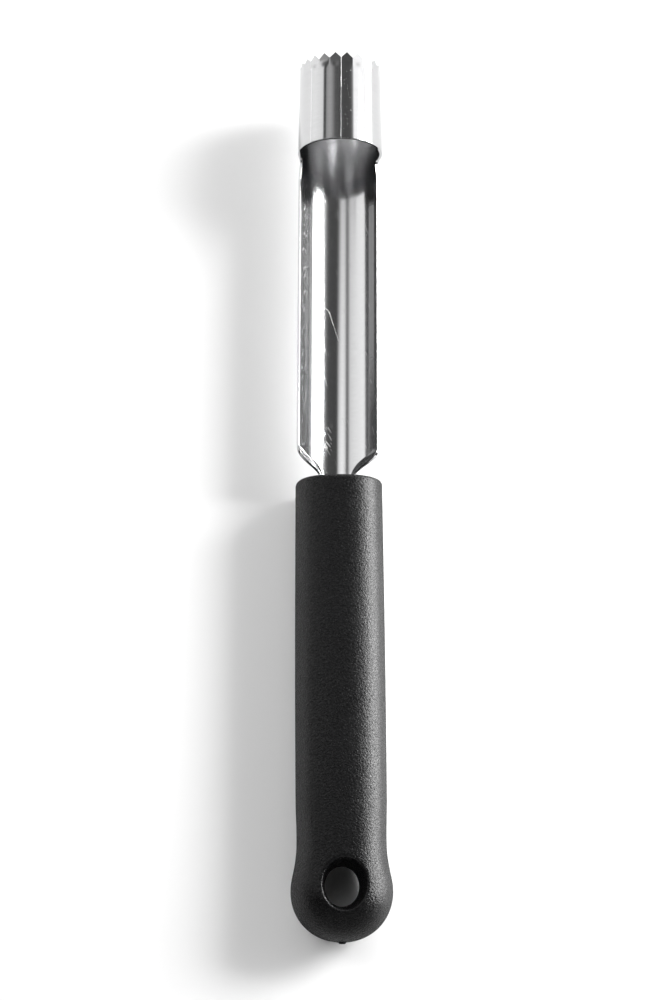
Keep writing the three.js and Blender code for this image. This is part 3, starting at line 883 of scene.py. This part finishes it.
def bands(stops):
    """Brightness by the angle from straight up, to the right positive."""
    ramp = w.add("ShaderNodeValToRGB")
    w.put(ramp.inputs[0], w.range(side_angle, -180, 180, 0, 1, "LINEAR"))
    el = ramp.color_ramp.elements
    while len(el) > 1:
        el.remove(el[-1])
    for i, (deg, value) in enumerate(stops):
        e = el[0] if i == 0 else el.new((deg + 180) / 360)
        e.position = (deg + 180) / 360
        e.color = (value / 4, value / 4, value / 4, 1)
    return w.math("MULTIPLY", ramp.outputs[0], 4.0)


near_bands = bands([
    (-180, 0.2), (-95, 0.2), (-88, 0.05), (-40, 0.03), (0, 0.02), (36, 0.03), (44, 0.3), (90, 0.5), (180, 0.2)])
low_bands = bands([
    (-180, 0.5), (-95, 0.3), (-90, 0.35), (-86, 0.732), (-82, 1.66), (-73, 1.84), (-60, 1.7), (-47, 1.6), (-36, 1.46),
    (-31.5, 1.3), (-27.5, 0.27), (-22.5, 0.27), (-19.5, 1.4), (-14, 1.89), (-8, 1.93), (-3, 1.6), (0, 1.06),
    (3, 0.13), (8, 0.115), (30, 0.12), (35, 0.18), (39, 0.42), (43, 1.0), (47, 1.9), (84, 2.0), (88, 1.2), (180, 0.6)])
mid_bands = bands([
    (-180, 0.5), (-95, 0.22), (-88, 0.2), (-84, 0.732), (-78, 1.6), (-73, 1.77), (-60, 1.73), (-47, 1.6), (-36, 1.38),
    (-31, 1.09), (-27.5, 0.399), (-22.5, 0.399), (-19, 1.24), (-13, 1.53), (-8, 1.38), (-4, 0.732), (-1, 0.22),
    (3, 0.13), (8, 0.115), (27, 0.13), (32, 0.18), (36.5, 0.42), (40, 1.0), (44, 1.9), (84, 2.0), (88, 1.2), (180, 0.6)])
far_bands = bands([
    (-180, 0.8), (-118, 1.12), (-108, 1.22), (-102, 1.44), (-93, 1.57), (-79, 1.6), (-65, 1.49), (-57, 1.4),
    (-52.5, 1.32), (-50, 0.15), (-44.5, 0.12), (-42, 0.54), (-35, 0.672), (-29, 0.636), (-24, 0.456), (-18, 0.2),
    (-12, 0.16), (0, 0.145), (10, 0.135), (22, 0.14), (28, 0.2), (32, 0.5), (36, 2.0), (84, 2.0), (90, 1.6), (180, 1.0)])
top_bands = bands([
    (-180, 0.3), (-100, 0.5), (-62, 0.5), (-56, 0.12), (-20, 0.12), (-12, 0.4), (-4, 0.15), (30, 0.1), (45, 0.9), (90, 1.0),
    (180, 0.5)])
high_bands = bands([
    (-180, 0.3), (-90, 0.15), (-60, 0.06), (0, 0.08), (20, 0.3), (45, 0.9), (90, 1.0), (180, 0.5)])


def blend_bands(a, b, t):
    return w.math("ADD", w.math("MULTIPLY", a, w.math("SUBTRACT", 1.0, t)), w.math("MULTIPLY", b, t))


level = blend_bands(w.range(along_angle, -40, -54, 0.02, 0.5), near_bands, w.range(along_angle, -25, -8, 0, 1))
level = blend_bands(level, low_bands, w.range(along_angle, 8, 12, 0, 1))
level = blend_bands(level, mid_bands, w.range(along_angle, 15, 21, 0, 1, "LINEAR"))
level = blend_bands(level, far_bands, w.range(along_angle, 22, 23.6, 0, 1))
level = blend_bands(level, top_bands, w.range(along_angle, 31, 34.5, 0, 1))
level = blend_bands(level, high_bands, w.range(along_angle, 42, 50, 0, 1))
level = blend_bands(level, 2.5, w.range(along_angle, 62, 70, 0, 1))
w.put(bg.inputs["Strength"], level)

# -------------------------------------------------------------------- camera
FOCAL_PX = 2170.0
TILT = math.radians(14.0)
DISTANCE = 515.0
AIM = Vector((-0.79, -1.64, AXIS_Z))
SIDEWAYS = -35.9
ROLL = math.radians(-0.423)
cam_data = bpy.data.cameras.new("camera")
cam_data.sensor_fit = "AUTO"
cam_data.sensor_width = 36.0
cam_data.lens = 36.0 * FOCAL_PX / 1000.0
cam_data.clip_start = 0.01
cam = bpy.data.objects.new("camera", cam_data)
spot = AIM + Vector((SIDEWAYS, -DISTANCE * math.sin(TILT), DISTANCE * math.cos(TILT)))
back = (spot - AIM).normalized()
right = Vector((0, 1, 0)).cross(back).normalized()
up = back.cross(right)
right, up = (right * math.cos(ROLL) + up * math.sin(ROLL),
             up * math.cos(ROLL) - right * math.sin(ROLL))
cam.matrix_world = Matrix((
    (right.x, up.x, back.x, spot.x * MM), (right.y, up.y, back.y, spot.y * MM),
    (right.z, up.z, back.z, spot.z * MM), (0, 0, 0, 1)))
bpy.context.scene.collection.objects.link(cam)
bpy.context.scene.camera = cam

bpy.context.scene.view_settings.view_transform = "Standard"
bpy.context.scene.view_settings.look = "None"
